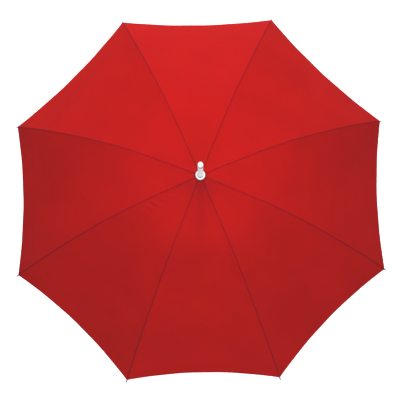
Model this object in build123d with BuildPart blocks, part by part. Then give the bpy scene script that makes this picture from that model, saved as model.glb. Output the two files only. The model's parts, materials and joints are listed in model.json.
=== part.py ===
from build123d import *
import os
from math import asin, cos, degrees, hypot, radians, sin, tan

# Golf umbrella with eight ribs, shown open: shaft, crown, ribs, stretchers, runner, catches and handle.
#
# Frame: +Z up, origin at the bottom of the handle on the shaft's axis, millimetres.
# The ribs stand at 22.5 degrees and every 45 degrees from there, so each gore faces an axis or a diagonal.
# Each repeated piece is drawn once in the XZ plane and turned to every rib azimuth.

os.makedirs("parts", exist_ok=True)

# Driving dimensions of the dome
rib_count = 8
rib_length = 762.0          # crown point to the fabric's corner, along the rib
crown_height = 920.0        # height of the point where all rib lines would meet
crown_slope = 6.5           # degrees below level, where the rib leaves the crown
joiner_slope = 33.0         # degrees below level at the joiner
tip_slope = 53.0            # degrees below level at the fabric's corner
straight_share = 0.24       # share of the rib that is straight, from the crown
joiner_share = 0.45         # share of the rib from the crown to the joiner
hem_sag = 14.0              # how far the hem is drawn in between two rib tips

# Driving dimensions of the frame
shaft_radius = 7.0
shaft_wall = 0.8
rib_radius = 2.0
rib_end_radius = 1.4
pivot_ring_radius = 11.0    # radius of the wire rings that carry the ribs and the stretchers
wire_radius = 0.65
stretcher_drop = 6.0        # how far the stretcher's pivot hangs below the rib at the joiner
closed_angle = 88.0         # degrees below level of the line from rib pivot to stretcher pivot, closed
cloth_thickness = 0.6
cloth_lift = 4.3            # underside of the fabric above the rib's centre line, clear of the joiners

# Driving dimensions of the runner, the handle and the ferrule
runner_length = 74.0
catch_travel = 3.5
handle_radius = 16.0
handle_length = 150.0
handle_cap_height = 12.0
ferrule_top = 172.0         # height of the ferrule's tip above the crown point
ferrule_cap_height = 22.0
collar_radius = 15.0
collar_height = 8.5

# Fits
slip = 0.05                 # radial room between pieces that are assembled or slide on each other
tongue_thickness = 2.0      # flat end of a rib or stretcher on its wire ring
slot_width = 2.6            # slot in the notch or runner that takes that end
joiner_tongue = 2.6         # flat end held between the joiner's cheeks
joiner_gap = 3.0            # room between the cheeks
cheek_thickness = 1.2
pin_radius = 1.0
eye_radius = 2.2
flange_radius = 13.6        # rim of the notch and of the runner, just outside the eyes

# Worked-out dimensions
inner_bend = rib_length * (joiner_share - straight_share) / radians(joiner_slope - crown_slope)
outer_bend = rib_length * (1 - joiner_share) / radians(tip_slope - joiner_slope)
rib_step = 360.0 / rib_count
first_azimuth = rib_step / 2
rib_azimuths = [first_azimuth + rib_step * number for number in range(rib_count)]


def rib_slope(share):
    """Slope of the rib line in radians below level, at a share of its length."""
    if share <= straight_share:
        return radians(crown_slope)
    if share <= joiner_share:
        return radians(crown_slope) + (share - straight_share) * rib_length / inner_bend
    return radians(joiner_slope) + (share - joiner_share) * rib_length / outer_bend


def rib_point(share, lift=0.0):
    """Radius and height of the rib line at a share of its length, lifted square to it."""
    slope = rib_slope(share)
    run = min(share, straight_share) * rib_length
    radius = run * cos(radians(crown_slope))
    drop = run * sin(radians(crown_slope))
    for bend, begin, end in (
        (inner_bend, straight_share, joiner_share),
        (outer_bend, joiner_share, 1.0),
    ):
        if share > begin:
            start_slope = rib_slope(begin)
            end_slope = rib_slope(min(share, end))
            radius += bend * (sin(end_slope) - sin(start_slope))
            drop += bend * (cos(start_slope) - cos(end_slope))
    return radius + lift * sin(slope), crown_height - drop + lift * cos(slope)


def trace_rib(first, last, lift=0.0):
    """Draw the rib line between two shares of its length, as a line and arcs."""
    knots = [first] + [knot for knot in (straight_share, joiner_share) if first < knot < last] + [last]
    for begin, end in zip(knots, knots[1:]):
        if end <= straight_share:
            Line(rib_point(begin, lift), rib_point(end, lift))
        else:
            ThreePointArc(rib_point(begin, lift), rib_point((begin + end) / 2, lift), rib_point(end, lift))


def export_around(pattern, name):
    """Turn one pattern piece to every rib azimuth and write each copy as its own node."""
    for number, azimuth in enumerate(rib_azimuths, start=1):
        turned = pattern.rotate(Axis.Z, azimuth)
        turned.label = f"{name}_{number}"
        export_step(turned, f"parts/{name}_{number}.step")


# The four-bar fold: rib pivot, joiner pivot and runner pivot form an isosceles triangle
rib_pivot = (pivot_ring_radius, crown_height - pivot_ring_radius * tan(radians(crown_slope)))
joiner_centre = rib_point(joiner_share)
joiner_pivot = rib_point(joiner_share, -stretcher_drop)
link_length = hypot(joiner_pivot[0] - rib_pivot[0], joiner_pivot[1] - rib_pivot[1])
open_angle = degrees(asin((rib_pivot[1] - joiner_pivot[1]) / link_length))
runner_pivot_height = rib_pivot[1] - 2 * link_length * sin(radians(open_angle))
closed_runner_height = rib_pivot[1] - 2 * link_length * sin(radians(closed_angle))


# Shaft: a steel tube with two slots for the catches
shaft_bottom = handle_cap_height + 8.0
shaft_top = crown_height + 70.0
runner_rim = 4.0            # runner's rim above its pivots
runner_top = runner_pivot_height + runner_rim
runner_bottom = runner_top - runner_length
window_drop = 38.0          # runner pivot down to the middle of the window for the lower catch
catch_slot_width = 3.0
catch_slot_length = 56.0
upper_hold = runner_bottom - 2.0                        # the upper catch holds just under the open runner
lower_hold = closed_runner_height - window_drop + 8.0   # the lower catch holds in the closed runner's window
slot_drop = 26.0            # a catch's holding edge down to the middle of its slot

with BuildPart() as shaft:
    with BuildSketch(Plane.XY.offset(shaft_bottom)):
        Circle(shaft_radius)
        Circle(shaft_radius - shaft_wall, mode=Mode.SUBTRACT)
    extrude(amount=shaft_top - shaft_bottom)
    for hold_height in (upper_hold, lower_hold):
        with BuildSketch(Plane.YZ):
            with Locations((0, hold_height - slot_drop)):
                SlotOverall(catch_slot_length, catch_slot_width, rotation=90)
        extrude(amount=2 * shaft_radius, mode=Mode.SUBTRACT)
shaft.part.label = "shaft"
export_step(shaft.part, "parts/shaft.step")


# Catches: flat spring leaves inside the shaft, each with a tooth that stands out through its slot.
# The tooth is square on the side that holds the runner and slopes away on the other.
catch_thickness = 2.0
leaf_back = 2.0             # the leaf's back and front, at rest, from the shaft's axis
leaf_front = 4.5
leaf_above = 6.0            # leaf above the holding edge
leaf_below = 14.0           # leaf below the slope
tooth_slope = 26.0          # height of the tooth
tooth_flat = 3.0            # height of the tooth's outermost face
tooth_rake = 1.0            # fall of the holding edge towards the tooth's tip
tooth_fillet = 0.8


def make_catch(hold_height):
    """A spring leaf whose tooth holds at hold_height and slopes away below it."""
    tooth_tip = shaft_radius + catch_travel
    with BuildPart() as catch:
        with BuildSketch(Plane.XZ):
            with BuildLine():
                Polyline(
                    (leaf_back, hold_height + leaf_above),
                    (leaf_front, hold_height + leaf_above),
                    (leaf_front, hold_height),
                    (tooth_tip, hold_height - tooth_rake),
                    (tooth_tip, hold_height - tooth_rake - tooth_flat),
                    (leaf_front, hold_height - tooth_slope),
                    (leaf_front, hold_height - tooth_slope - leaf_below),
                    (leaf_back, hold_height - tooth_slope - leaf_below),
                    (leaf_back, hold_height + leaf_above),
                )
            make_face()
        extrude(amount=catch_thickness / 2, both=True)
        fillet(catch.edges().filter_by(Axis.Y).group_by(Axis.X)[-1], tooth_fillet)
    return catch


top_spring = make_catch(upper_hold)
top_spring.part.label = "top_spring"
export_step(top_spring.part, "parts/top_spring.step")

bottom_spring = make_catch(lower_hold)
bottom_spring.part.label = "bottom_spring"
export_step(bottom_spring.part, "parts/bottom_spring.step")


# Top notch: the crown fitting, slotted below and outside for the rib ends, with a wire ring
notch_rim = 3.4             # half the height of the notch's rim, about the pivots
notch_top = rib_pivot[1] + notch_rim
notch_bottom = rib_pivot[1] - 6.4
notch_taper = 2.0
eye_room = 0.2              # room around an eye in its slot
slot_floor = pivot_ring_radius - eye_radius - eye_room

with BuildPart() as top_notch:
    with BuildSketch(Plane.XZ) as notch_profile:
        with BuildLine():
            Polyline(
                (shaft_radius + slip, notch_top),
                (flange_radius, notch_top),
                (flange_radius, rib_pivot[1] - notch_rim),
                (flange_radius - notch_taper, notch_bottom),
                (shaft_radius + slip, notch_bottom),
                (shaft_radius + slip, notch_top),
            )
        make_face()
    revolve(axis=Axis.Z)
    with PolarLocations(0, rib_count, start_angle=first_azimuth):
        with Locations((slot_floor, 0, notch_bottom)):
            Box(
                flange_radius, slot_width, rib_pivot[1] + eye_radius + eye_room - notch_bottom,
                align=(Align.MIN, Align.CENTER, Align.MIN), mode=Mode.SUBTRACT,
            )
    with Locations((0, 0, rib_pivot[1])):
        Torus(pivot_ring_radius, wire_radius + slip, mode=Mode.SUBTRACT)
top_notch.part.label = "top_notch"
export_step(top_notch.part, "parts/top_notch.step")


def make_wire(height):
    """A ring of round wire that threads the ends in a notch."""
    with BuildPart() as wire:
        with Locations((0, 0, height)):
            Torus(pivot_ring_radius, wire_radius)
    return wire


notch_wire = make_wire(rib_pivot[1])
notch_wire.part.label = "notch_wire"
export_step(notch_wire.part, "parts/notch_wire.step")

runner_wire = make_wire(runner_pivot_height)
runner_wire.part.label = "runner_wire"
export_step(runner_wire.part, "parts/runner_wire.step")


# Runner: a sleeve that slides on the shaft, slotted above and outside for the stretchers
runner_sleeve_radius = 10.6
runner_chamfer = 2.0
head_taper = 6.0            # height of the cone from the runner's head down to its sleeve
thumb_ring_height = 9.0     # the ring that the hand pushes against
thumb_ring_radius = flange_radius - 0.6
ring_taper = 3.0
ring_chamfer = 1.5
window_length = 34.0
window_width = 4.4

with BuildPart() as runner:
    with BuildSketch(Plane.XZ):
        with BuildLine():
            Polyline(
                (shaft_radius + slip, runner_top),
                (flange_radius - runner_chamfer, runner_top),
                (flange_radius, runner_top - runner_chamfer),
                (flange_radius, runner_pivot_height - runner_rim),
                (runner_sleeve_radius, runner_pivot_height - runner_rim - head_taper),
                (runner_sleeve_radius, runner_bottom + thumb_ring_height + ring_taper),
                (thumb_ring_radius, runner_bottom + thumb_ring_height),
                (thumb_ring_radius, runner_bottom + ring_chamfer),
                (thumb_ring_radius - ring_chamfer, runner_bottom),
                (shaft_radius + slip, runner_bottom),
                (shaft_radius + slip, runner_top),
            )
        make_face()
    revolve(axis=Axis.Z)
    with PolarLocations(0, rib_count, start_angle=first_azimuth):
        with Locations((slot_floor, 0, runner_pivot_height - eye_radius - eye_room)):
            Box(
                flange_radius, slot_width, eye_radius + eye_room + runner_rim,
                align=(Align.MIN, Align.CENTER, Align.MIN), mode=Mode.SUBTRACT,
            )
    with Locations((0, 0, runner_pivot_height)):
        Torus(pivot_ring_radius, wire_radius + slip, mode=Mode.SUBTRACT)
    with BuildSketch(Plane.YZ):
        with Locations((0, runner_pivot_height - window_drop)):
            SlotOverall(window_length, window_width, rotation=90)
    extrude(amount=2 * flange_radius, mode=Mode.SUBTRACT)
runner.part.label = "runner"
export_step(runner.part, "parts/runner.step")


# Ribs: a round rod with a flattened eye on the crown's wire ring
rod_start = 8.0             # pivot to the start of the round rod
flat_in_rod = 3.0           # length of a flat end inside its rod
crown_run = pivot_ring_radius / cos(radians(crown_slope))
joiner_socket = 14.0        # length of the joiner's sleeve on the rib
joiner_eye = 3.0            # eye of the rib's end piece in the joiner
rod_setback = 4.2           # joiner centre to the square end of either rod
tongue_height = 3.2

with BuildPart() as rib:
    with BuildLine(Plane.XZ) as rib_line:
        trace_rib((crown_run + rod_start) / rib_length, joiner_share - rod_setback / rib_length)
    with BuildSketch(rib_line.line ^ 0):
        Circle(rib_radius)
    sweep()
    with BuildSketch(Plane.XZ):
        with Locations(rib_pivot):
            Circle(eye_radius)
            Rectangle(
                rod_start + flat_in_rod, tongue_height, rotation=-crown_slope,
                align=(Align.MIN, Align.CENTER),
            )
    extrude(amount=tongue_thickness / 2, both=True)
    with BuildSketch(Plane.XZ):
        with Locations(rib_pivot):
            Circle(wire_radius + 2 * slip)
    extrude(amount=tongue_thickness, both=True, mode=Mode.SUBTRACT)
export_around(rib.part, "rib")


# Joiners: a moulded sleeve on the rib with two cheeks and two cross pins
joiner_plane = Plane(
    origin=(joiner_centre[0], 0, joiner_centre[1]),
    x_dir=(cos(radians(joiner_slope)), 0, -sin(radians(joiner_slope))),
    z_dir=(0, -1, 0),
)
socket_room = 0.3           # end of the rod to the end of its sleeve
socket_end = joiner_share - (rod_setback + socket_room) / rib_length
socket_start = joiner_share - (rod_setback + joiner_socket) / rib_length
socket_radius = 3.3
bore_overrun = 1.5
cheek_rim = 0.6             # cheek around the pins
upper_cheek_reach = 5.0     # how far the cheeks run back along the sleeve, above and below
lower_cheek_reach = 7.0
pin_head = 0.4

with BuildPart() as joiner:
    with BuildLine(Plane.XZ) as socket_line:
        trace_rib(socket_start, socket_end)
    with BuildSketch(socket_line.line ^ 0):
        Circle(socket_radius)
    sweep()
    with BuildSketch(joiner_plane):
        with BuildLine():
            Polyline(
                (-rod_setback - upper_cheek_reach, socket_radius),
                (0, joiner_eye),
                (joiner_eye, 0),
                (eye_radius + cheek_rim, -stretcher_drop),
                (0, -stretcher_drop - eye_radius - cheek_rim),
                (-rod_setback - lower_cheek_reach, -socket_radius),
                (-rod_setback - upper_cheek_reach, socket_radius),
            )
        make_face()
    extrude(amount=joiner_gap / 2 + cheek_thickness, both=True)
    with BuildSketch(joiner_plane):
        with Locations((-rod_setback, 0)):
            Rectangle(4 * joiner_eye, 8 * joiner_eye, align=(Align.MIN, Align.CENTER))
        with Locations((0, -stretcher_drop)):
            Rectangle(4 * joiner_eye, 2 * (eye_radius + cheek_rim), align=(Align.MAX, Align.CENTER))
    extrude(amount=joiner_gap / 2, both=True, mode=Mode.SUBTRACT)
    with BuildLine(Plane.XZ) as bore_line:
        trace_rib(socket_start - bore_overrun / rib_length, socket_end + bore_overrun / rib_length)
    with BuildSketch(bore_line.line ^ 0):
        Circle(rib_radius + slip)
    sweep(mode=Mode.SUBTRACT)
    with BuildSketch(joiner_plane):
        with Locations((0, 0), (0, -stretcher_drop)):
            Circle(pin_radius)
    extrude(amount=joiner_gap / 2 + cheek_thickness + pin_head, both=True)
export_around(joiner.part, "joiner")


# Rib ends: the slender outer rod, with a flat eye in the joiner
rod_short = 2.0             # the rod stops this far before the fabric's corner

with BuildPart() as rib_end:
    with BuildLine(Plane.XZ) as rib_end_line:
        trace_rib(joiner_share + rod_setback / rib_length, 1 - rod_short / rib_length)
    with BuildSketch(rib_end_line.line ^ 0):
        Circle(rib_end_radius)
    sweep()
    with BuildSketch(joiner_plane):
        Circle(joiner_eye)
        Rectangle(rod_setback + flat_in_rod, 2 * rib_end_radius, align=(Align.MIN, Align.CENTER))
    extrude(amount=joiner_tongue / 2, both=True)
    with BuildSketch(joiner_plane):
        Circle(pin_radius + slip)
    extrude(amount=joiner_tongue, both=True, mode=Mode.SUBTRACT)
export_around(rib_end.part, "rib_end")


# Rib tips: small caps pushed on the rod's end, which stand past the fabric's corner
tip_point = rib_point(1.0)
tip_sleeve = 10.0
tip_reach = 14.0
tip_radius = 1.9
tip_fillet = 1.2
tip_floor = 1.0             # solid part of the cap before the fabric's corner
tip_plane = Plane(
    origin=(tip_point[0], 0, tip_point[1]),
    x_dir=(0, 1, 0),
    z_dir=(cos(radians(tip_slope)), 0, -sin(radians(tip_slope))),
)

with BuildPart() as rib_tip:
    with BuildSketch(tip_plane.offset(-tip_sleeve)):
        Circle(tip_radius)
    extrude(amount=tip_sleeve + tip_reach)
    fillet(rib_tip.edges().sort_by(Axis.X)[-1], tip_fillet)
    with BuildSketch(tip_plane.offset(-tip_sleeve)):
        Circle(rib_end_radius + 3 * slip)
    extrude(amount=tip_sleeve - tip_floor, mode=Mode.SUBTRACT)
export_around(rib_tip.part, "rib_tip")


# Stretchers: a channel strut from the runner's wire ring to the joiner's lower pin
stretcher_plane = Plane(
    origin=(pivot_ring_radius, 0, runner_pivot_height),
    x_dir=(cos(radians(open_angle)), 0, sin(radians(open_angle))),
    z_dir=(0, -1, 0),
)
strut_width = 4.0
strut_depth = 5.0
channel_width = 2.2
channel_depth = 3.6
strut_end_gap = 9.0         # either pivot to the end of the strut
strut_fillet = 1.0
channel_setback = 6.0       # end of the strut to the end of its channel
flat_in_strut = 4.0         # length of a flat end inside the strut
outer_eye = eye_radius + 0.4

with BuildPart() as stretcher:
    with BuildSketch(stretcher_plane):
        with Locations((strut_end_gap, 0)):
            RectangleRounded(
                link_length - 2 * strut_end_gap, strut_depth, strut_fillet,
                align=(Align.MIN, Align.CENTER),
            )
    extrude(amount=strut_width / 2, both=True)
    with BuildSketch(stretcher_plane):
        with Locations((strut_end_gap + channel_setback, -strut_depth / 2)):
            Rectangle(
                link_length - 2 * (strut_end_gap + channel_setback), channel_depth,
                align=(Align.MIN, Align.MIN),
            )
    extrude(amount=channel_width / 2, both=True, mode=Mode.SUBTRACT)
    with BuildSketch(stretcher_plane):
        Circle(eye_radius)
        Rectangle(strut_end_gap + flat_in_strut, tongue_height, align=(Align.MIN, Align.CENTER))
    extrude(amount=tongue_thickness / 2, both=True)
    with BuildSketch(stretcher_plane):
        with Locations((link_length, 0)):
            Circle(outer_eye)
            Rectangle(strut_end_gap + flat_in_strut, 1.5 * outer_eye, align=(Align.MAX, Align.CENTER))
    extrude(amount=joiner_tongue / 2, both=True)
    with BuildSketch(stretcher_plane):
        Circle(wire_radius + 2 * slip)
        with Locations((link_length, 0)):
            Circle(pin_radius + slip)
    extrude(amount=strut_width, both=True, mode=Mode.SUBTRACT)
export_around(stretcher.part, "stretcher")


# Canopy: eight gores, each a thin sheet ruled from one rib to the next, with a drawn-in hem
cloth_start = 15.4          # radius where the fabric starts, at a rib
panel_gap = 0.2             # room on each side of a rib's plane
half_step = rib_step / 2
chord = 2 * rib_point(1.0, cloth_lift)[0] * sin(radians(half_step))
hem_radius = (chord ** 2 / 4 + hem_sag ** 2) / (2 * hem_sag)
hem_centre = rib_point(1.0, cloth_lift)[0] * cos(radians(half_step)) - hem_sag + hem_radius
start_share = cloth_start / rib_length
far_rib_normal = (sin(radians(rib_step)), -cos(radians(rib_step)), 0)
chord_direction = (-sin(radians(half_step)), cos(radians(half_step)), 0)

with BuildPart() as canopy_panel:
    with BuildSketch(Plane.XZ.offset(-panel_gap)):
        with BuildLine() as cloth_line:
            trace_rib(start_share, 1.0, cloth_lift)
            trace_rib(start_share, 1.0, cloth_lift + cloth_thickness)
            Line(rib_point(start_share, cloth_lift), rib_point(start_share, cloth_lift + cloth_thickness))
            Line(rib_point(1.0, cloth_lift), rib_point(1.0, cloth_lift + cloth_thickness))
        make_face()
    extrude(amount=2 * chord, dir=chord_direction)
    split(bisect_by=Plane(origin=(0, 0, 0), z_dir=far_rib_normal).offset(panel_gap), keep=Keep.TOP)
    with Locations((
        hem_centre * cos(radians(half_step)),
        hem_centre * sin(radians(half_step)),
        crown_height - rib_length,
    )):
        Cylinder(hem_radius, rib_length, align=(Align.CENTER, Align.CENTER, Align.MIN), mode=Mode.SUBTRACT)
export_around(canopy_panel.part, "canopy_panel")


# Crown cap: the domed collar that clamps the fabric, with a hexagonal seat for the ferrule
collar_bottom = crown_height + 3.3      # just above the fabric
collar_top = collar_bottom + collar_height
collar_fillet = 3.0
seat_depth = 3.0
seat_radius = 11.2          # axis to a corner of the hexagon; two corners lie along Y

with BuildPart() as crown_cap:
    with BuildSketch(Plane.XY.offset(collar_bottom)):
        Circle(collar_radius)
    extrude(amount=collar_height)
    fillet(crown_cap.edges().group_by(Axis.Z)[-1], collar_fillet)
    with BuildSketch(Plane.XY.offset(collar_top)):
        RegularPolygon(seat_radius, 6, rotation=30)
    extrude(amount=-seat_depth, mode=Mode.SUBTRACT)
    with BuildSketch(Plane.XY.offset(collar_bottom)):
        Circle(shaft_radius + slip)
    extrude(amount=collar_height, mode=Mode.SUBTRACT)
crown_cap.part.label = "crown_cap"
export_step(crown_cap.part, "parts/crown_cap.step")


# Ferrule: a sleeve on the shaft's top that widens upwards, closed by a rounded tip with a groove under it
butt_gap = 0.1              # room between pieces that meet end to end
ferrule_bottom = collar_top - seat_depth + butt_gap
ferrule_joint = crown_height + ferrule_top - ferrule_cap_height
ferrule_foot_radius = 7.9
ferrule_neck_radius = 8.9
ferrule_cap_radius = 8.5
dome_base = crown_height + ferrule_top - ferrule_cap_radius
groove_radius = 7.4
groove_height = 1.6
cap_chamfer = 0.5
stem_radius = 5.0
stem_length = 18.0
shaft_end_room = 2.0

with BuildPart() as ferrule:
    with BuildSketch(Plane.XZ):
        with BuildLine():
            Polyline(
                (shaft_radius + slip, ferrule_bottom),
                (ferrule_foot_radius, ferrule_bottom),
                (ferrule_neck_radius, ferrule_joint),
                (stem_radius + slip, ferrule_joint),
                (stem_radius + slip, shaft_top + shaft_end_room),
                (shaft_radius + slip, shaft_top + shaft_end_room),
                (shaft_radius + slip, ferrule_bottom),
            )
        make_face()
    revolve(axis=Axis.Z)
ferrule.part.label = "ferrule"
export_step(ferrule.part, "parts/ferrule.step")

with BuildPart() as ferrule_tip:
    with BuildSketch(Plane.XZ):
        with BuildLine():
            Polyline(
                (0, dome_base + ferrule_cap_radius),
                (0, ferrule_joint - stem_length),
                (stem_radius, ferrule_joint - stem_length),
                (stem_radius, ferrule_joint + butt_gap),
                (groove_radius, ferrule_joint + butt_gap),
                (groove_radius, ferrule_joint + groove_height),
                (ferrule_cap_radius - cap_chamfer, ferrule_joint + groove_height),
                (ferrule_cap_radius, ferrule_joint + groove_height + cap_chamfer),
                (ferrule_cap_radius, dome_base),
            )
            CenterArc((0, dome_base), ferrule_cap_radius, 0, 90)
        make_face()
    revolve(axis=Axis.Z)
ferrule_tip.part.label = "ferrule_tip"
export_step(ferrule_tip.part, "parts/ferrule_tip.step")


# Handle: a straight round grip on the shaft's lower end, closed by a domed end cap
grip_top_fillet = 3.0
grip_foot_fillet = 0.8
end_cap_fillet = 6.0
plug_radius = 5.5
plug_length = 20.0

with BuildPart() as handle_grip:
    with BuildSketch(Plane.XY.offset(handle_cap_height)):
        Circle(handle_radius)
    extrude(amount=handle_length)
    fillet(handle_grip.edges().group_by(Axis.Z)[-1], grip_top_fillet)
    fillet(handle_grip.edges().group_by(Axis.Z)[0], grip_foot_fillet)
    with BuildSketch(Plane.XY.offset(handle_cap_height)):
        Circle(shaft_radius + slip)
    extrude(amount=handle_length, mode=Mode.SUBTRACT)
handle_grip.part.label = "handle_grip"
export_step(handle_grip.part, "parts/handle_grip.step")

with BuildPart() as handle_cap:
    with BuildSketch(Plane.XY):
        Circle(handle_radius)
    extrude(amount=handle_cap_height - butt_gap)
    fillet(handle_cap.edges().group_by(Axis.Z)[0], end_cap_fillet)
    with BuildSketch(Plane.XY.offset(handle_cap_height - butt_gap)):
        Circle(plug_radius)
    extrude(amount=plug_length)
handle_cap.part.label = "handle_cap"
export_step(handle_cap.part, "parts/handle_cap.step")
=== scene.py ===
import json
import math

import bpy
import numpy as np
from mathutils import Matrix, Quaternion, Vector


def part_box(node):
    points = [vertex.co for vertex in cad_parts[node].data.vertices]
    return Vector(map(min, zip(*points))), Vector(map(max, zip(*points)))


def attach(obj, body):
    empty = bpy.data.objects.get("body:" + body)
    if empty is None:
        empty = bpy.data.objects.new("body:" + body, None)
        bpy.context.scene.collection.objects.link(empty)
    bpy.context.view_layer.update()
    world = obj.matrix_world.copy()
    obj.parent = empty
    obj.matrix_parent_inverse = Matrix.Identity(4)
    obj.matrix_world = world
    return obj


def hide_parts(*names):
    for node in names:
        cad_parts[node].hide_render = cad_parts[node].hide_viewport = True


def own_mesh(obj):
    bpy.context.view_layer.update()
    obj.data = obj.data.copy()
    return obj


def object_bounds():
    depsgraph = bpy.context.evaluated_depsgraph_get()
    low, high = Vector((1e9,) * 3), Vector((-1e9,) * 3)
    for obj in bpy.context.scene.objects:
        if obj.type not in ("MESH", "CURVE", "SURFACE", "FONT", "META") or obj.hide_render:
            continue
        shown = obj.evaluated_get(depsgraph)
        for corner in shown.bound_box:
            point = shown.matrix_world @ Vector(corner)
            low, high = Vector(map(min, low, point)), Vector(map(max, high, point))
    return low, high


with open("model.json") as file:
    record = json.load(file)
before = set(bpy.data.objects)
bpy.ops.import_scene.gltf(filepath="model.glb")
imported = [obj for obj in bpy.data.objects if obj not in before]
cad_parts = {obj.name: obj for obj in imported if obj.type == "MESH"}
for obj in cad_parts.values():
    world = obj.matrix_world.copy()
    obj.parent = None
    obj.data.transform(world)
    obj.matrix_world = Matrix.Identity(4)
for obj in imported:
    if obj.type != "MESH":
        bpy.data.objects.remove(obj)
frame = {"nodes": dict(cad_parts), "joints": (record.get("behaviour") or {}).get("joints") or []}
cad_low, cad_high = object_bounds()

# Looks of a golf umbrella: a sewn red canopy, white ferrule, enamelled frame and rubber grip.
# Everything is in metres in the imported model's frame: +Z up, the handle's end at the origin.

# Shape of a rib: slopes below level, and places as shares of its length from the crown
CROWN_SLOPE = math.radians(6.5)
JOINER_SLOPE = math.radians(33.0)
TIP_SLOPE = math.radians(53.0)
STRAIGHT_SHARE = 0.24       # straight from the crown to here, then curved
JOINER_SHARE = 0.45         # where the stretcher meets the rib

# The cloth
CLOTH_LIFT = 0.0027         # cloth above the rib's centre line
CLOTH_START = 0.0150        # radius where the cloth starts under the collar
CLOTH_THICKNESS = 0.00045
GORE_SAG = 0.006            # how far a gore's middle hangs inside the straight line between ribs
SAG_GROWTH = 1.15           # the sag follows a sine of the share times this, held past 1
SAG_TURN = 0.62 * math.pi   # angle of the sine there, so that the sag is deepest before the hem
PHASE_STEP = 1.37           # shift of the wrinkles from one gore to the next, in radians
SLACK_GORE = 5              # the one gore with slack folds beside its seam

# Its rise where it passes over a joiner
JOINER_RISE = 0.0022
RISE_LEAD = 0.005           # top of the rise, from the joint towards the crown
RISE_LENGTH = 0.014
RISE_WIDTH = 0.026

# Its seams: a low ridge of doubled cloth with a groove along the stitched line
RIDGE_HEIGHT = 0.0005
RIDGE_WIDTH = 0.0030
GROOVE_DEPTH = 0.0009
GROOVE_WIDTH = 0.0008
TAPE_HALF_WIDTH = 0.006     # doubled cloth of the seam, on the underside along the rib
TAPE_DROP = 0.0006

# Its hem
HEM_WIDTH = 0.007
HEM_THICKNESS = 0.0013
HEM_PULL = 0.0245           # how far the hem's middle is drawn up along the gore
HEM_EASE = 0.0015           # length over which the hem's thickness comes in
EDGE_ROUND = 0.0012         # length over which the edge is rounded off
EDGE_KEPT = 0.2             # share of the thickness left at the very edge

# How it folds
INNER_SPANS = 8             # lengths the sheet is parted into between the crown and the joiners
FOLD_LEAN = math.radians(6) # slope of each half, when folded, that would lay one half over the next; the tilt is worked out but not applied

# Grid of a gore
ACROSS_STEPS = 18           # columns in half a gore
SEAM_GRADING = 1.8          # power that brings the columns closer together near the seam
INNER_STEPS = 52            # rows from the crown to the joiners
OUTER_STEPS = 58            # rows from the joiners to the hem band
HEM_STEPS = 6               # rows in the hem band
TAPE_STEPS = 10             # columns in a seam tape

SEAM_FAR = 0.05             # stands for a place well away from any seam or hem
SHARP_ANGLE = math.radians(40)  # turned parts are shaded with an edge at corners sharper than this

joints = {joint["name"]: joint for joint in frame["joints"]}
rib_count = sum(name.startswith("rib_fold_") for name in joints)
half_step = math.pi / rib_count


def radius_and_height(position):
    """Distance from the shaft's axis, and height, of a point in the frame."""
    return math.hypot(position[0], position[1]), position[2]


pivot_radius, pivot_height = radius_and_height(joints["rib_fold_1"]["pos_m"])
joiner_radius, _ = radius_and_height(joints["rib_flex_1"]["pos_m"])
crown_height = pivot_height + pivot_radius * math.tan(CROWN_SLOPE)
inner_turn = JOINER_SLOPE - CROWN_SLOPE
outer_turn = TIP_SLOPE - JOINER_SLOPE
inner_curve = (JOINER_SHARE - STRAIGHT_SHARE) / inner_turn
rib_length = joiner_radius / (
    STRAIGHT_SHARE * math.cos(CROWN_SLOPE)
    + inner_curve * (math.sin(JOINER_SLOPE) - math.sin(CROWN_SLOPE))
)
inner_bend = rib_length * inner_curve
outer_bend = rib_length * (1 - JOINER_SHARE) / outer_turn
start_share = CLOTH_START / rib_length


# ---------------------------------------------------------------- shape of the canopy
def rib_line(share):
    """Radius, height and slope of the rib's centre line at shares of its length."""
    share = np.asarray(share, float)
    run = np.minimum(share, STRAIGHT_SHARE) * rib_length
    radius = run * math.cos(CROWN_SLOPE)
    drop = run * math.sin(CROWN_SLOPE)
    slope = np.full_like(share, CROWN_SLOPE)
    for bend, begin, end in (
        (inner_bend, STRAIGHT_SHARE, JOINER_SHARE),
        (outer_bend, JOINER_SHARE, 1.0),
    ):
        turn = np.clip(share - begin, 0, end - begin) * rib_length / bend
        radius = radius + bend * (np.sin(slope + turn) - np.sin(slope))
        drop = drop + bend * (np.cos(slope) - np.cos(slope + turn))
        slope = slope + turn
    return radius, crown_height - drop, slope


def smooth_bump(distance, width):
    """A rounded bump, 1 at no distance and fading over the width."""
    return np.exp(-(distance / width) ** 2)


def joiner_rise(share):
    """Extra lift of the cloth on the rib, where it passes over a joiner."""
    return JOINER_RISE * smooth_bump((share - JOINER_SHARE) * rib_length + RISE_LEAD, RISE_LENGTH)


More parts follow.
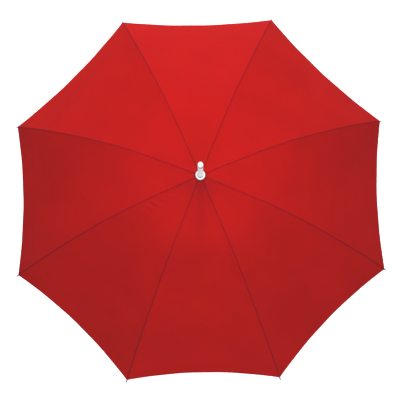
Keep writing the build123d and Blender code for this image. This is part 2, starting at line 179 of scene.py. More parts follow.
def gore_points(share, across, phase, slack):
    """Cloth surface of one gore, centred on azimuth 0.

    share runs from the crown to the rib tips, across from -1 at one rib to +1 at the next.
    phase differs from gore to gore, so that no two wrinkle alike. slack adds the slack folds.
    """
    radius, height, slope = rib_line(share)
    seam_distance = (1 - np.abs(across)) * radius * math.sin(half_step)
    lift = CLOTH_LIFT + joiner_rise(share) * smooth_bump(seam_distance, RISE_WIDTH)
    radius = radius + lift * np.sin(slope)
    height = height + lift * np.cos(slope)

    normal_x = np.sin(slope)
    normal_z = np.cos(slope) * math.cos(half_step)
    normal_size = np.hypot(normal_x, normal_z)
    normal_x = normal_x / normal_size
    normal_z = normal_z / normal_size

    sag = GORE_SAG * np.sin(np.clip(share * SAG_GROWTH, 0, 1) * SAG_TURN)
    inset = sag * (1 - across ** 2)
    inset = inset - RIDGE_HEIGHT * smooth_bump(seam_distance, RIDGE_WIDTH)
    inset = inset + GROOVE_DEPTH * smooth_bump(seam_distance, GROOVE_WIDTH)
    along = share * rib_length
    inset = inset + seam_puckers(along, seam_distance, across, phase)
    inset = inset + crown_gathers(along, across, phase)
    inset = inset + slanting_folds(along, seam_distance, across, phase)
    inset = inset + hem_ripples(along, across, phase)
    if slack:
        inset = inset + slack_folds(along, across)
    return np.stack(
        (
            radius * math.cos(half_step) - inset * normal_x,
            radius * math.sin(half_step) * across,
            height - inset * normal_z,
        ),
        axis=-1,
    )


# The wrinkles: each is a wave of some depth, kept to one stretch of the cloth by smooth bumps.
# A wave's rates are in radians per metre along the gore, or per half gore across it.
def seam_puckers(along, seam_distance, across, phase):
    """Fine puckers beside the stitched seams, deeper in some stretches than in others."""
    depth = 0.00022
    reach = 0.011
    clear_of_stitches = 0.002
    side = np.sign(across) * 0.7
    fine = np.sin(along * 620 + seam_distance * 160 + phase + side)
    uneven = 0.6 + 0.4 * np.sin(along * 41 + phase * 2.1 + side)
    near_seam = smooth_bump(seam_distance, reach) * np.clip(seam_distance / clear_of_stitches, 0, 1)
    return depth * fine * uneven * near_seam


def crown_gathers(along, across, phase):
    """Gathers that run out from under the collar."""
    depth = 0.00022
    place = 0.03
    reach = 0.050
    return depth * np.sin(across * 9.5 + phase) * smooth_bump(along - place, reach)


def slanting_folds(along, seam_distance, across, phase):
    """Slanting folds beside the seams, between the crown and the joiners."""
    depth = 0.00045
    place = 0.11
    reach = 0.045
    width = 0.022
    wave = np.sin(along * 150 + across * 5 + phase * 1.7)
    return depth * wave * smooth_bump(along - place, reach) * smooth_bump(seam_distance, width)


def hem_ripples(along, across, phase):
    """Slack cloth by the hem, between the rib tips."""
    depth = 0.0006
    reach = 0.05
    wave = np.sin(across * 11 + phase * 1.3)
    return depth * wave * smooth_bump(rib_length - along, reach) * (1 - across ** 2)


def slack_folds(along, across):
    """A short row of shallow folds that run across the cloth beside one seam."""
    depth = 0.0015
    spacing = 0.024
    place_along, reach_along = 0.175, 0.045
    place_across, reach_across = -0.62, 0.30
    wave = np.sin(along * 2 * math.pi / spacing + across * 4)
    beside_seam = smooth_bump(across - place_across, reach_across)
    return depth * wave * smooth_bump(along - place_along, reach_along) * beside_seam


def hem_share(across):
    """Share of the rib's length at which the cloth ends."""
    return 1 - HEM_PULL / rib_length * (1 - across ** 2)


def turned(points, azimuth):
    """Points turned about the shaft's axis."""
    cosine = math.cos(azimuth)
    sine = math.sin(azimuth)
    return points @ np.array(((cosine, sine, 0), (-sine, cosine, 0), (0, 0, 1)))


def surface_normals(points):
    """Outward unit normals of a grid of points, rows along the gore and columns across it."""
    down = np.gradient(points, axis=0)
    sideways = np.gradient(points, axis=1)
    normals = np.cross(down, sideways)
    return normals / np.linalg.norm(normals, axis=-1, keepdims=True)


def gore_grid():
    """Shares of the rib's length and positions across, for a whole gore."""
    graded = np.linspace(0, 1, ACROSS_STEPS + 1) ** SEAM_GRADING
    left = -1 + graded
    columns = np.concatenate((left, -left[-2::-1]))
    hem = hem_share(columns)
    band = HEM_WIDTH / rib_length
    inner = np.linspace(start_share, JOINER_SHARE, INNER_STEPS + 1)
    outer = np.linspace(0, 1, OUTER_STEPS + 1)[1:]
    hem_rows = np.linspace(0, 1, HEM_STEPS + 1)[1:]
    rows = [np.full_like(columns, share) for share in inner]
    rows += [JOINER_SHARE + (hem - band - JOINER_SHARE) * step for step in outer]
    rows += [hem - band + band * step for step in hem_rows]
    share = np.array(rows)
    across = np.tile(columns, (len(share), 1))
    return share, across


def sheet_mesh(name, outer, inner, normals, attributes):
    """A closed thin sheet between two grids of points, shaded with the given normals."""
    rows, columns = outer.shape[:2]
    count = rows * columns
    index = np.arange(count).reshape(rows, columns)
    corners = (index[:-1, :-1], index[:-1, 1:], index[1:, 1:], index[1:, :-1])
    quads = np.stack(corners, axis=-1).reshape(-1, 4)
    top = quads[:, ::-1]
    bottom = quads + count
    rim = np.concatenate((index[0, :], index[1:, -1], index[-1, -2::-1], index[-2:0:-1, 0]))
    rim_next = np.roll(rim, -1)
    walls = np.stack((rim, rim_next, rim_next + count, rim + count), axis=-1)
    faces = np.concatenate((top, bottom, walls))
    points = np.concatenate((outer.reshape(-1, 3), inner.reshape(-1, 3)))
    piece = smooth_piece(name, points, faces)
    mesh = piece.data
    for key, values in attributes.items():
        add_attribute(mesh, key, np.tile(values.ravel(), 2))
    flat = normals.reshape(-1, 3)
    point_normals = np.concatenate((flat, -flat))
    automatic = np.zeros((walls.size, 3))
    loops = np.concatenate((point_normals[top.ravel()], point_normals[bottom.ravel()], automatic))
    mesh.normals_split_custom_set(loops.tolist())
    return piece


def smooth_piece(name, points, faces):
    """A smoothly shaded mesh object in the scene."""
    mesh = bpy.data.meshes.new(name)
    mesh.from_pydata(points.tolist(), [], faces.tolist())
    mesh.polygons.foreach_set("use_smooth", np.ones(len(faces), bool))
    mesh.update()
    piece = bpy.data.objects.new(name, mesh)
    bpy.context.scene.collection.objects.link(piece)
    return piece


def add_attribute(mesh, key, values):
    """Give each point of a mesh a number that its material reads."""
    layer = mesh.attributes.new(key, "FLOAT", "POINT")
    layer.data.foreach_set("value", np.asarray(values, np.float32))


# ---------------------------------------------------------------- how the canopy folds
def hinge_turn(name, end):
    """Motion of a hinge from rest to the low (0) or high (1) end of its range."""
    hinge = joints[name]
    place = Matrix.Translation(hinge["pos_m"])
    turn = Matrix.Rotation(math.radians(hinge["range_deg"][end]), 4, Vector(hinge["axis"]))
    return place @ turn @ place.inverted()


def fold_motion(group, rib):
    """Motion of a rib's inner or outer body from open to folded."""
    motion = hinge_turn(f"rib_fold_{rib}", 1)
    if group == "rib_end_group":
        motion = motion @ hinge_turn(f"rib_flex_{rib}", 0)
    return motion


def share_kept(points, anchor, axis, motion, sideways):
    """Folded width as a share of the open width.

    It is the least at which no point falls short of the gore's middle plane, whose normal is sideways.
    """
    turned_axis = motion.to_3x3() @ axis
    kept = []
    for point in points:
        excess = (motion @ point).dot(sideways) / turned_axis.dot(sideways)
        kept.append(1 - excess / (point - anchor).dot(axis))
    return min(1.0, max(kept))


def fold_flat(piece, group, rib, gore_azimuth, lean, middle_points):
    """Work out how far half a gore would crease towards its rib as the umbrella folds, until it meets
    the other half, and give the piece a mesh of its own; the crease itself is not applied.
    """
    reach = {"rib_group": (start_share, JOINER_SHARE), "rib_end_group": (JOINER_SHARE, 1.0)}
    first, last = reach[group]
    rib_azimuth = half_step * (2 * rib - 1)
    places = [rib_place(rib_azimuth, share) for share in (first, (first + last) / 2, last)]
    anchor = sum(places, Vector()) / 3
    chord = (places[2] - places[0]).normalized()
    sideways = Vector((-math.sin(gore_azimuth), math.cos(gore_azimuth), 0))
    axis = (sideways - chord * sideways.dot(chord)).normalized()
    kept = share_kept(middle_points, anchor, axis, fold_motion(group, rib), sideways)
    if kept < 1:
        tilt = lean * math.atan(math.tan(FOLD_LEAN) * kept / (1 - kept))
        axis = Quaternion(chord, tilt) @ axis
        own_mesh(piece)


def rib_place(azimuth, share):
    """Point of the cloth above a rib, in the frame."""
    radius, height, slope = (float(value) for value in rib_line(share))
    radius += CLOTH_LIFT * math.sin(slope)
    height += CLOTH_LIFT * math.cos(slope)
    return Vector((radius * math.cos(azimuth), radius * math.sin(azimuth), height))


def span_rows(share):
    """Spans of a gore along its rib: name, body it rides on, first and last row.

    Each inner span ends at the same multiple of where it starts, since the cloth near the crown
    creases least and the cloth by the joiners most.
    """
    growth = (JOINER_SHARE / start_share) ** (1 / INNER_SPANS)
    ends = start_share * growth ** np.arange(INNER_SPANS + 1)
    rows = [int(np.argmin(np.abs(share[:, 0] - end))) for end in ends]
    spans = [(f"inner_{i + 1}", "rib_group", rows[i], rows[i + 1]) for i in range(INNER_SPANS)]
    return spans + [("outer", "rib_end_group", rows[-1], len(share) - 1)]


# ---------------------------------------------------------------- pieces of the canopy
def gore_sheet(number, share, across, gore_azimuth):
    """Centre line, outer and inner surface, normals and shader attributes of a whole gore."""
    points = gore_points(share, across, phase=number * PHASE_STEP, slack=number == SLACK_GORE)
    normals = surface_normals(points)
    half_width = rib_line(share)[0] * math.sin(half_step)
    hem_distance = (hem_share(across) - share) * rib_length
    hem_weight = np.clip((HEM_WIDTH - hem_distance) / HEM_EASE, 0, 1)
    edge_round = np.sqrt(np.clip(hem_distance / EDGE_ROUND, EDGE_KEPT ** 2, 1))
    thickness = (CLOTH_THICKNESS + (HEM_THICKNESS - CLOTH_THICKNESS) * hem_weight) * edge_round
    offset = normals * thickness[..., None] / 2
    attributes = {
        "seam": (1 - np.abs(across)) * half_width,
        "hem": hem_distance,
        "along": share * rib_length,
        "across": across * half_width,
    }
    grids = (points[:, ACROSS_STEPS], points + offset, points - offset, normals)
    return [turned(grid, gore_azimuth) for grid in grids] + [attributes]


def sew_gore(number, cloth):
    """One gore in a left and a right half, which ride on its two ribs, each parted into the spans."""
    gore_azimuth = 2 * half_step * number
    share, across = gore_grid()
    centre_line, outer, inner, normals, attributes = gore_sheet(number, share, across, gore_azimuth)
    halves = (
        ("left", slice(0, ACROSS_STEPS + 1), number, 1),
        ("right", slice(ACROSS_STEPS, None), number % rib_count + 1, -1),
    )
    for side, columns, rib, lean in halves:
        for span, group, first_row, last_row in span_rows(share):
            cut = (slice(first_row, last_row + 1), columns)
            piece = sheet_mesh(
                f"gore_{number}_{side}_{span}",
                outer[cut],
                inner[cut],
                normals[cut],
                {key: values[cut] for key, values in attributes.items()},
            )
            piece.data.materials.append(cloth)
            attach(piece, f"{group}_{rib}")
            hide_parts(f"canopy_panel_{number}")
            middle_points = [Vector(point) for point in centre_line[first_row:last_row + 1]]
            fold_flat(piece, group, rib, gore_azimuth, lean, middle_points)


def seam_tape(number, cloth):
    """The doubled cloth of one seam, on the underside along its rib, in two lengths."""
    azimuth = half_step * (2 * number - 1)
    rows = gore_grid()[0][:, 0]
    touching = 1e-9
    lengths = (
        ("inner", rows[rows <= JOINER_SHARE + touching], "rib_group"),
        ("outer", rows[rows >= JOINER_SHARE - touching], "rib_end_group"),
    )
    columns = np.linspace(-TAPE_HALF_WIDTH, TAPE_HALF_WIDTH, TAPE_STEPS + 1)
    for length, shares, group in lengths:
        share, sideways = np.meshgrid(shares, columns, indexing="ij")
        radius, height, slope = rib_line(share)
        lift = CLOTH_LIFT + joiner_rise(share) - TAPE_DROP
        radius = radius + lift * np.sin(slope) - np.abs(sideways) * math.sin(half_step)
        height = height + lift * np.cos(slope)
        points = np.stack((radius, sideways * math.cos(half_step), height), axis=-1)
        normals = surface_normals(points)
        offset = normals * CLOTH_THICKNESS / 2
        attributes = {
            "seam": np.full_like(share, SEAM_FAR),
            "hem": (1 - share) * rib_length,
            "along": share * rib_length,
            "across": sideways,
        }
        piece = sheet_mesh(
            f"seam_tape_{number}_{length}",
            turned(points + offset, azimuth),
            turned(points - offset, azimuth),
            turned(normals, azimuth),
            attributes,
        )
        piece.data.materials.append(cloth)
        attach(piece, f"{group}_{number}")


def crown_cloth(cloth):
    """The ring of cloth gathered under the collar, bent down over the crown fitting's rim."""
    rim_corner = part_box("top_notch")[1]
    rim = rim_corner.x
    shaft_gap = 0.0006
    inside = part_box("shaft")[1].x + shaft_gap
    level = (rim_corner.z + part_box("crown_cap")[0].z) / 2
    half_thickness = 0.00018
    upper = []
    lower = []
    for radius, height, slope in (
        (inside, level, 0.0),
        (rim - 0.0010, level, 0.0),
        (rim + 0.0004, level - 0.0005, 0.7),
        (rim + 0.0009, level - 0.0014, 1.2),
    ):
        outward = half_thickness * math.sin(slope)
        upward = half_thickness * math.cos(slope)
        upper.append((radius + outward, height + upward))
        lower.append((radius - outward, height - upward))
    piece = revolve("crown_cloth", lower + upper[::-1], turns=96)
    for key, value in (("seam", SEAM_FAR), ("hem", SEAM_FAR), ("along", 0.0), ("across", 0.0)):
        add_attribute(piece.data, key, np.full(len(piece.data.vertices), value))
    piece.data.materials.append(cloth)
    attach(piece, "shaft_group")


def revolve(name, outline, turns):
    """A smooth closed ring whose section is the closed outline of radii and heights."""
    angles = np.linspace(0, 2 * math.pi, turns, endpoint=False)
    rings = np.array([
        np.stack((radius * np.cos(angles), radius * np.sin(angles), np.full(turns, height)), axis=-1)
        for radius, height in outline
    ])
    index = np.arange(len(outline) * turns).reshape(len(outline), turns)
    above = np.roll(index, -1, axis=0)
    faces = np.stack((index, np.roll(index, -1, axis=1), np.roll(above, -1, axis=1), above), axis=-1)
    piece = smooth_piece(name, rings.reshape(-1, 3), faces.reshape(-1, 4))
    piece.data.set_sharp_from_angle(angle=SHARP_ANGLE)
    return piece


# ---------------------------------------------------------------- handle
GRIP_GROOVES = 15
GRIP_GROOVE_DEPTH = 0.0009
GRIP_GROOVE_SHARE = 0.32    # a groove's width as a share of the pitch
GRIP_GROOVE_ROWS = 20       # rows of the mesh in each pitch
GRIP_END = 0.014            # plain band at either end of the grip
GRIP_WAIST = 0.0005         # how much the grip's middle is slimmer than its ends
GRIP_FOOT_ROUND = 0.0008
GRIP_TOP_ROUND = 0.0035
GRIP_BORE_GAP = 0.0001


def grip_radius(height, low, high, radius):
    """Radius of the grip at heights along it: plain ends, a slight waist and rounded grooves."""
    along = (height - low) / (high - low)
    outline = radius - GRIP_WAIST * np.sin(along * math.pi)
    pitch = (high - low - 2 * GRIP_END) / GRIP_GROOVES
    place = (height - low - GRIP_END) / pitch
    off_groove = np.abs(place - np.floor(place) - 0.5) / (GRIP_GROOVE_SHARE / 2)
    inside = (place > 0) & (place < GRIP_GROOVES)
    return outline - np.where(inside, GRIP_GROOVE_DEPTH * np.clip(1 - off_groove ** 2, 0, 1), 0)


def grip_sleeve():
    """The moulded rubber grip: a closed sleeve with shallow rings for the fingers."""
    low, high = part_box("handle_grip")
    radius = high.x
    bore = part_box("shaft")[1].x + GRIP_BORE_GAP
    rows = GRIP_GROOVES * GRIP_GROOVE_ROWS + 1
    heights = np.linspace(low.z + GRIP_FOOT_ROUND, high.z - GRIP_TOP_ROUND, rows)
    outline = list(zip(grip_radius(heights, low.z, high.z, radius), heights))
    for turn in np.linspace(0, math.pi / 2, 9)[1:]:
        outline.append((
            radius - GRIP_TOP_ROUND + GRIP_TOP_ROUND * math.cos(turn),
            high.z - GRIP_TOP_ROUND + GRIP_TOP_ROUND * math.sin(turn),
        ))
    outline += [(bore, high.z), (bore, low.z), (radius - GRIP_FOOT_ROUND, low.z)]
    piece = revolve("grip_sleeve", outline, turns=128)
    piece.data.materials.append(grip_rubber())
    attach(piece, "shaft_group")
    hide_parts("handle_grip")


# ---------------------------------------------------------------- materials
class Nodes:
    """Short calls that add and join shader nodes in one material."""

    def __init__(self, name):
        self.material = bpy.data.materials.new(name)
        self.material.use_nodes = True
        self.tree = self.material.node_tree
        self.shader = self.tree.nodes["Principled BSDF"]
        self.output = self.tree.nodes["Material Output"]

    def put(self, socket, value):
        """Give an input a number, a colour or another node's output."""
        if isinstance(value, bpy.types.NodeSocket):
            self.tree.links.new(value, socket)
        else:
            socket.default_value = value

    def set(self, **values):
        """Set inputs of the main shader, with underscores for spaces."""
        for key, value in values.items():
            self.put(self.shader.inputs[key.replace("_", " ")], value)

    def math(self, operation, first, second=0.0):
        """A sum, product or other operation on one or two numbers."""
        node = self.tree.nodes.new("ShaderNodeMath")
        node.operation = operation
        self.put(node.inputs[0], first)
        self.put(node.inputs[1], second)
        return node.outputs[0]

    def times(self, first, second):
        """The product of two numbers."""
        return self.math("MULTIPLY", first, second)

    def mix(self, factor, first, second, blend="MIX"):
        """The first colour where the factor is 0, the second where it is 1."""
        node = self.tree.nodes.new("ShaderNodeMix")
        node.data_type = "RGBA"
        node.blend_type = blend
        self.put(node.inputs["Factor"], factor)
        self.put(node.inputs["A"], first)
        self.put(node.inputs["B"], second)
        return node.outputs["Result"]

    def grey(self, value):
        """A number as a grey colour."""
        node = self.tree.nodes.new("ShaderNodeCombineColor")
        for channel in ("Red", "Green", "Blue"):
            self.put(node.inputs[channel], value)
        return node.outputs[0]

    def attribute(self, name):
        """A number that the mesh holds at each point."""
        node = self.tree.nodes.new("ShaderNodeAttribute")
        node.attribute_name = name
        return node.outputs["Fac"]

    def place(self, scale=(1, 1, 1)):
        """Object coordinates in metres, stretched by a scale."""
        coordinates = self.tree.nodes.new("ShaderNodeTexCoord")
        mapping = self.tree.nodes.new("ShaderNodeMapping")
        mapping.inputs["Scale"].default_value = scale
        self.put(mapping.inputs["Vector"], coordinates.outputs["Object"])
        return mapping.outputs["Vector"]

    def part(self, vector, axis):
        """The X, Y or Z part of a vector."""
        parts = self.tree.nodes.new("ShaderNodeSeparateXYZ")
        self.put(parts.inputs[0], vector)
        return parts.outputs[axis]

    def facing_up(self):
        """1 on level surfaces, 0 on upright ones."""
        geometry = self.tree.nodes.new("ShaderNodeNewGeometry")
        return self.part(geometry.outputs["Normal"], "Z")

    def noise(self, scale, detail=4.0, roughness=0.5, stretch=(1, 1, 1)):
        """Soft cloudy noise of about 0 to 1."""
        node = self.tree.nodes.new("ShaderNodeTexNoise")
        self.put(node.inputs["Vector"], self.place(stretch))
        node.inputs["Scale"].default_value = scale
        node.inputs["Detail"].default_value = detail
        node.inputs["Roughness"].default_value = roughness
        return node.outputs["Fac"]

    def cells(self, scale):
        """Distance from the nearest of many scattered points, for a pebbled grain."""
        node = self.tree.nodes.new("ShaderNodeTexVoronoi")
        self.put(node.inputs["Vector"], self.place())
        node.inputs["Scale"].default_value = scale
        return node.outputs["Distance"]

    def openness(self, reach):
        """1 on open surfaces, falling towards 0 in corners and recesses."""
        node = self.tree.nodes.new("ShaderNodeAmbientOcclusion")
        node.inputs["Distance"].default_value = reach
        return node.outputs["AO"]

    def camera_sees(self):
        """1 where the camera looks straight at the surface, 0 for light that bounces."""
        return self.tree.nodes.new("ShaderNodeLightPath").outputs["Is Camera Ray"]

    def span(self, value, low, high, to_low, to_high):
        """Map a range of values to another range, held at its ends."""
        node = self.tree.nodes.new("ShaderNodeMapRange")
        self.put(node.inputs["Value"], value)
        ends = (("From Min", low), ("From Max", high), ("To Min", to_low), ("To Max", to_high))
        for key, number in ends:
            self.put(node.inputs[key], number)
        return node.outputs["Result"]

    def wave(self, position, period):
        """0 to 1 and back once in each period of a distance in metres."""
        sine = self.math("SINE", self.times(position, 2 * math.pi / period))
        return self.math("ADD", self.times(sine, 0.5), 0.5)

    def bump(self, height, distance, strength=1.0, under=None):
        """Relief of a height of 0 to 1 times a distance, on top of other relief."""
        node = self.tree.nodes.new("ShaderNodeBump")
        node.inputs["Strength"].default_value = strength
        node.inputs["Distance"].default_value = distance
        self.put(node.inputs["Height"], height)
        if under is not None:
            self.put(node.inputs["Normal"], under)
        return node.outputs["Normal"]


RED = (0.640, 0.0050, 0.0045, 1)
DEEP_RED = (0.590, 0.0045, 0.0050, 1)
# darker red of the seams: doubled cloth, deepened with painted shade
SEAM_CLOTH_AND_SHADE_RED = (0.225, 0.0040, 0.0160, 1)
HEM_RED = (0.600, 0.0020, 0.0025, 1)
# painted shade of the cloth round and in front of the collar
COLLAR_SHADE_RED = (0.240, 0.0040, 0.0160, 1)
THREAD_RED = (0.34, 0.008, 0.012, 1)
SHEEN_RED = (0.75, 0.03, 0.03, 1)
THROUGH_RED = (1.0, 0.75, 0.75, 1)
HEM_BAND = (0.0035, 0.0050)  # distances from the edge over which the hem's own colour fades out
CLOTH_THREAD = 0.00055      # spacing of the weave
CLOTH_THROUGH = 0.16        # share of the light that the cloth lets through
CLOTH_GLOW = 0.0125         # painted glow: faint even cyan light given off by the cloth, which keeps the red from turning black in the shade
SEAM_STITCHES = 0.0042      # distance of the stitches from the seam
HEM_STITCHES = 0.0060       # and from the hem's edge
STITCH_LENGTH = 0.0030      # a stitch and its gap
STITCH_HALF_WIDTH = 0.00030


def cloth_material():
    """Red pongee: fine weave, seams darker from doubled cloth and painted shade, stitched hem, a
    little light coming through, and a faint painted glow.
    """
    n = Nodes("red_pongee")
    seam = n.attribute("seam")
    hem = n.attribute("hem")
    along = n.attribute("along")
    across = n.attribute("across")
    seam_stitches = stitch_line(n, seam, SEAM_STITCHES, along)
    hem_stitches = stitch_line(n, hem, HEM_STITCHES, across)
    stitches = n.math("MAXIMUM", seam_stitches, hem_stitches)
    colour = n.mix(n.times(stitches, 0.5), cloth_colour(n, seam, hem, along), THREAD_RED)
    n.set(Base_Color=colour, Roughness=n.span(n.noise(60.0, 3.0), 0.3, 0.7, 0.70, 0.82))
    n.set(Specular_IOR_Level=0.03, Sheen_Weight=0.02, Sheen_Roughness=0.5, Sheen_Tint=SHEEN_RED)
    # Painted glow: the cloth gives off faint cyan light everywhere but at the hem's edge.
    n.set(Emission_Color=(0, 1, 1, 1), Emission_Strength=n.span(hem, *HEM_BAND, 0, CLOTH_GLOW))

    weave = n.times(n.wave(along, CLOTH_THREAD), n.wave(across, CLOTH_THREAD))
    relief = n.bump(n.noise(34.0, 4.0), 0.0010, 0.20)
    relief = n.bump(weave, 0.00004, 0.5, relief)
    relief = n.bump(stitches, 0.0003, 0.6, relief)
    n.set(Normal=relief)

    through = n.tree.nodes.new("ShaderNodeBsdfTranslucent")
    n.put(through.inputs["Color"], n.mix(1.0, colour, THROUGH_RED, "MULTIPLY"))
    both = n.tree.nodes.new("ShaderNodeMixShader")
    both.inputs["Fac"].default_value = CLOTH_THROUGH
    n.put(both.inputs[1], n.shader.outputs[0])
    n.put(both.inputs[2], through.outputs[0])
    n.put(n.output.inputs["Surface"], both.outputs[0])
    return n.material


def cloth_colour(n, seam, hem, along):
    """Red with faint mottling, darker along the seams (doubled cloth and painted shade) and hem, with
    painted shade round the crown and a painted shadow of the collar on its front side.
    """
    colour = n.mix(n.span(n.noise(7.0, 3.0), 0.35, 0.65, 0, 1), RED, DEEP_RED)
    mottle = n.span(n.noise(900.0, 2.0), 0.3, 0.7, 0.97, 1.03)
    colour = n.mix(1.0, colour, n.grey(mottle), "MULTIPLY")
    # Darker band along each seam: partly the doubled cloth, partly painted shade beside the seam, a
    # little stronger away from the crown.
    seam_cloth_and_shade = n.span(seam, 0.0008, 0.0022, 0.72, 0.0)
    seam_strength = n.span(along, 0.05, 0.40, 0.95, 1.10)
    colour = n.mix(n.times(seam_cloth_and_shade, seam_strength), colour, SEAM_CLOTH_AND_SHADE_RED)
    colour = n.mix(n.span(hem, *HEM_BAND, 0.80, 0.0), colour, HEM_RED)
    # Painted shade: a dark ring of cloth right round the collar.
    colour = n.mix(n.span(along, 0.0160, 0.0240, 0.75, 0.0), colour, COLLAR_SHADE_RED)
    # Painted shadow of the collar and ferrule on the cloth in front of them, away from the back light.
    shadow_side = n.span(n.part(n.place(), "Y"), -0.030, -0.002, 1, 0)
    collar_shadow = n.span(along, 0.040, 0.100, 0.30, 0.0)
    return n.mix(n.times(collar_shadow, shadow_side), colour, COLLAR_SHADE_RED)


def stitch_line(n, distance, place, position):
    """A dashed line of thread at a distance from an edge, as 0 to 1."""
    off_line = n.math("ABSOLUTE", n.math("SUBTRACT", distance, place))
    on_line = n.span(off_line, STITCH_HALF_WIDTH * 0.6, STITCH_HALF_WIDTH, 1, 0)
    dash = n.span(n.wave(position, STITCH_LENGTH), 0.22, 0.34, 0, 1)
    return n.times(on_line, dash)


WHITE = (0.80, 0.82, 0.82, 1)
SOILED_WHITE = (0.71, 0.73, 0.73, 1)
SHADED_WHITE = (0.30, 0.31, 0.32, 1)
SIDE_GLOW = (0.74, 1.0, 1.0, 1)  # painted glow colour that cools the upright faces, which take on the cloth's red
TOP_GLOW = (1.0, 1.0, 1.0, 1)
WHITE_GLOW = 0.36
RECESS_REACH = 0.005        # size of the recesses that are shaded


def white_plastic():
    """Glossy white moulding, faintly rubbed, with painted shade in its recesses, a painted shadow of
    the tip's cap at the ferrule's joint and a painted glow on its open faces.
    """
    n = Nodes("white_moulding")
    soil = n.span(n.noise(45.0, 5.0, 0.6), 0.45, 0.75, 0, 0.5)
    open_to_light = n.openness(RECESS_REACH)
    joint_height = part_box("ferrule")[1].z
    from_joint = n.math("ABSOLUTE", n.math("SUBTRACT", n.part(n.place(), "Z"), joint_height))
    # Painted shade: grey where the surface is closed in, as in the collar's recess.
    recess_shade = n.span(open_to_light, 0.35, 0.85, 0.80, 0)
    # Painted shadow of the tip's cap: grey near the height of the ferrule's joint.
    joint_shade = n.span(from_joint, 0.002, 0.014, 0.6, 0)
    shade = n.math("MAXIMUM", recess_shade, joint_shade)
    n.set(Base_Color=n.mix(shade, n.mix(soil, WHITE, SOILED_WHITE), SHADED_WHITE))
    # Painted glow: open faces give off light, less where painted shade lies, cooler on upright faces.
    open_glow = n.span(open_to_light, 0.65, 0.92, 0.0, WHITE_GLOW)
    n.set(Emission_Strength=n.times(open_glow, n.span(shade, 0, 0.6, 1, 0)))
    n.set(Emission_Color=n.mix(n.span(n.facing_up(), 0.1, 0.7, 0, 1), SIDE_GLOW, TOP_GLOW))
    scratches = n.noise(160.0, 5.0, 0.7, (1, 1, 0.12))
    n.set(Roughness=n.span(scratches, 0.35, 0.7, 0.26, 0.42), Coat_Weight=0.15, Coat_Roughness=0.15)
    n.set(Normal=n.bump(n.noise(260.0, 3.0), 0.00006, 0.4))
    n.set(Subsurface_Weight=0.05, Subsurface_Scale=0.004)
    return n.material


def moulded_plastic(name, colour, worn):
    """Satin plastic with a fine moulded grain and paler rubbed patches."""
    n = Nodes(name)
    rub = n.span(n.noise(70.0, 5.0, 0.6), 0.5, 0.75, 0, 0.55)
    n.set(Base_Color=n.mix(rub, colour, worn), Specular_IOR_Level=0.45)
    n.set(Roughness=n.span(n.noise(110.0, 4.0), 0.3, 0.7, 0.34, 0.52))
    n.set(Normal=n.bump(n.cells(1300.0), 0.00005, 0.45))
    return n.material


def fibre_rod():
    """Pultruded glass-fibre rod: dark resin with fine streaks and a satin skin."""
    n = Nodes("fibre_rod")
    resin = (0.020, 0.020, 0.023, 1)
    fibres = (0.060, 0.058, 0.062, 1)
    streak = n.noise(420.0, 3.0, 0.6, (0.25, 0.25, 0.25))
    n.set(Base_Color=n.mix(n.span(streak, 0.35, 0.7, 0, 1), resin, fibres))
    n.set(Roughness=n.span(streak, 0.3, 0.7, 0.28, 0.46), Coat_Weight=0.2)
    n.set(Normal=n.bump(n.noise(900.0, 2.0), 0.00004, 0.4))
    return n.material


def metal(name, colour, roughness, stretch):
    """Drawn or rolled metal with fine lines along its length and slight stains."""
    n = Nodes(name)
    lines = n.noise(900.0, 4.0, 0.6, stretch)
    stain = n.span(n.noise(28.0, 5.0, 0.6), 0.45, 0.75, 0, 0.4)
    stained = tuple(channel * 0.62 for channel in colour[:3]) + (1,)
    n.set(Base_Color=n.mix(stain, colour, stained), Metallic=1.0)
    n.set(Roughness=n.span(lines, 0.3, 0.7, roughness - 0.08, roughness + 0.10))
    n.set(Normal=n.bump(lines, 0.00003, 0.35))
    return n.material


def enamelled_steel():
    """Black enamel over rolled channel, with orange peel and bare metal at rubbed spots."""
    n = Nodes("black_enamel")
    enamel = (0.018, 0.018, 0.020, 1)
    bare = (0.32, 0.31, 0.30, 1)
    chips = n.span(n.noise(230.0, 5.0, 0.7), 0.69, 0.72, 0, 1)
    n.set(Base_Color=n.mix(chips, enamel, bare), Metallic=chips)
    n.set(Roughness=n.span(n.noise(90.0, 4.0), 0.3, 0.7, 0.22, 0.38), Coat_Weight=0.3)
    n.set(Normal=n.bump(n.noise(520.0, 3.0), 0.00006, 0.4))
    return n.material


def grip_rubber():
    """Matt moulded rubber with a pebbled grain, slightly shiny where it is held."""
    n = Nodes("grip_rubber")
    rubber = (0.020, 0.020, 0.022, 1)
    dusty = (0.052, 0.050, 0.050, 1)
    dust = n.span(n.noise(30.0, 5.0, 0.6), 0.45, 0.75, 0, 0.6)
    n.set(Base_Color=n.mix(dust, rubber, dusty), Specular_IOR_Level=0.35)
    n.set(Roughness=n.span(n.noise(18.0, 3.0), 0.35, 0.65, 0.55, 0.78))
    n.set(Normal=n.bump(n.cells(620.0), 0.00018, 0.7))
    return n.material


def paint(material, *names):
    """Give CAD nodes a material, by their names without any number at the end."""
    for node_name, node in frame["nodes"].items():
        series, _, last = node_name.rpartition("_")
        if node_name in names or (last.isdigit() and series in names):
            node.data.materials.clear()
            node.data.materials.append(material)


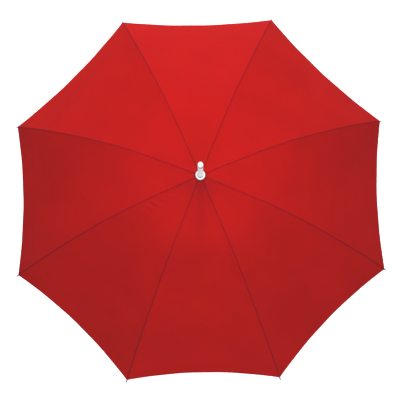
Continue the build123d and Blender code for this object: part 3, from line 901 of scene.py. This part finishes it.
def dress_frame():
    """Materials of the CAD nodes that stay on show."""
    black = (0.016, 0.016, 0.018, 1)
    worn_black = (0.050, 0.050, 0.052, 1)
    indigo = (0.055, 0.024, 0.190, 1)
    worn_indigo = (0.12, 0.09, 0.26, 1)
    steel = (0.60, 0.61, 0.62, 1)
    dull_steel = (0.50, 0.50, 0.52, 1)
    paint(white_plastic(), "crown_cap", "ferrule", "ferrule_tip")
    paint(fibre_rod(), "rib", "rib_end")
    black_moulding = moulded_plastic("black_moulding", black, worn_black)
    paint(black_moulding, "top_notch", "runner", "joiner", "handle_cap")
    paint(enamelled_steel(), "stretcher")
    paint(metal("shaft_steel", steel, 0.24, (1, 1, 0.02)), "shaft")
    paint(metal("wire_steel", steel, 0.30, (1, 1, 1)), "notch_wire", "runner_wire")
    paint(metal("spring_steel", dull_steel, 0.28, (1, 1, 0.05)), "top_spring", "bottom_spring")
    paint(moulded_plastic("tip_enamel", indigo, worn_indigo), "rib_tip")


# ---------------------------------------------------------------- studio
FLOOR_SIZE = 30.0
FLOOR_GAP = 0.001           # below the handle's end
FLOOR_LIGHT = 0.55          # strength of the floor as a light
FLOOR_SEEN = 1.0            # and as the camera sees it, so that it stays white
ROOM_LIGHT = 0.16           # strength of the surroundings as a light
ROOM_SEEN = 1.0             # and as the camera sees them
LIGHT_AIM = 0.15            # below the crown


def studio_floor():
    """A plain white floor just under the handle."""
    bpy.ops.mesh.primitive_plane_add(size=FLOOR_SIZE, location=(0, 0, cad_low.z - FLOOR_GAP))
    floor = bpy.context.object
    floor.name = "floor"
    n = Nodes("white_floor")
    n.set(Base_Color=n.mix(n.noise(0.8, 2.0), (0.90, 0.90, 0.90, 1), (0.93, 0.93, 0.93, 1)))
    n.set(Emission_Color=(1, 1, 1, 1), Roughness=0.9)
    n.set(Emission_Strength=n.span(n.camera_sees(), 0, 1, FLOOR_LIGHT, FLOOR_SEEN))
    floor.data.materials.append(n.material)


def studio_light(name, place, size, power):
    """A round soft light aimed at the canopy."""
    data = bpy.data.lights.new(name, "AREA")
    data.shape = "DISK"
    data.size = size
    data.energy = power
    light = bpy.data.objects.new(name, data)
    light.location = place
    target = Vector((0, 0, crown_height - LIGHT_AIM))
    light.rotation_euler = (target - light.location).to_track_quat("-Z", "Y").to_euler()
    bpy.context.scene.collection.objects.link(light)


def studio_surroundings():
    """An even white room, seen as pure white by the camera and dimmer by everything else."""
    world = bpy.data.worlds.new("studio")
    world.use_nodes = True
    tree = world.node_tree
    background = tree.nodes["Background"]
    background.inputs["Color"].default_value = (1, 1, 1, 1)
    seen = tree.nodes.new("ShaderNodeLightPath").outputs["Is Camera Ray"]
    strength = tree.nodes.new("ShaderNodeMapRange")
    strength.inputs["To Min"].default_value = ROOM_LIGHT
    strength.inputs["To Max"].default_value = ROOM_SEEN
    tree.links.new(seen, strength.inputs["Value"])
    tree.links.new(strength.outputs["Result"], background.inputs["Strength"])
    bpy.context.scene.world = world


def studio():
    """Bright even surroundings, with soft lights behind, above and in front of the umbrella."""
    studio_floor()
    studio_light("back_light", (0.0, 3.0, 2.3), size=0.7, power=63.0)
    studio_light("top_light", (0.0, 0.0, 3.8), size=2.0, power=49.0)
    studio_light("front_light", (0.3, -2.6, 3.2), size=2.0, power=29.0)
    studio_surroundings()
    bpy.context.scene.view_settings.view_transform = "Standard"


CAMERA_AZIMUTH = math.radians(-1.49)
CAMERA_ROLL = math.radians(0.52)
CAMERA_ELEVATION = math.radians(78.9)
CAMERA_DISTANCE = 14.0      # in canopy radii, from the plane of the rib tips
FRAME_FILL = 0.9830         # canopy radius over half the picture's width
AIM_SIDE = -0.0008          # where the camera aims, from the middle of that plane, in canopy radii
AIM_UP = -0.0114


def aim_camera():
    """A long lens almost straight above the canopy."""
    canopy_radius, tip_height, _ = (float(value) for value in rib_line(1.0))
    back = Vector((
        math.sin(CAMERA_AZIMUTH) * math.cos(CAMERA_ELEVATION),
        -math.cos(CAMERA_AZIMUTH) * math.cos(CAMERA_ELEVATION),
        math.sin(CAMERA_ELEVATION),
    ))
    turn = (-back).to_track_quat("-Z", "Y") @ Quaternion((0, 0, 1), CAMERA_ROLL)
    aim = Vector((0, 0, tip_height))
    aim += turn @ Vector((AIM_SIDE * canopy_radius, AIM_UP * canopy_radius, 0))
    data = bpy.data.cameras.new("camera")
    data.lens = data.sensor_width / 2 * FRAME_FILL * CAMERA_DISTANCE
    data.clip_end = 100.0
    camera = bpy.data.objects.new("camera", data)
    camera.location = aim + back * CAMERA_DISTANCE * canopy_radius
    camera.rotation_mode = "QUATERNION"
    camera.rotation_quaternion = turn
    bpy.context.scene.collection.objects.link(camera)
    bpy.context.scene.camera = camera


# ---------------------------------------------------------------- the whole umbrella
cloth = cloth_material()
for number in range(1, rib_count + 1):
    sew_gore(number, cloth)
    seam_tape(number, cloth)
crown_cloth(cloth)
grip_sleeve()
dress_frame()
studio()
aim_camera()
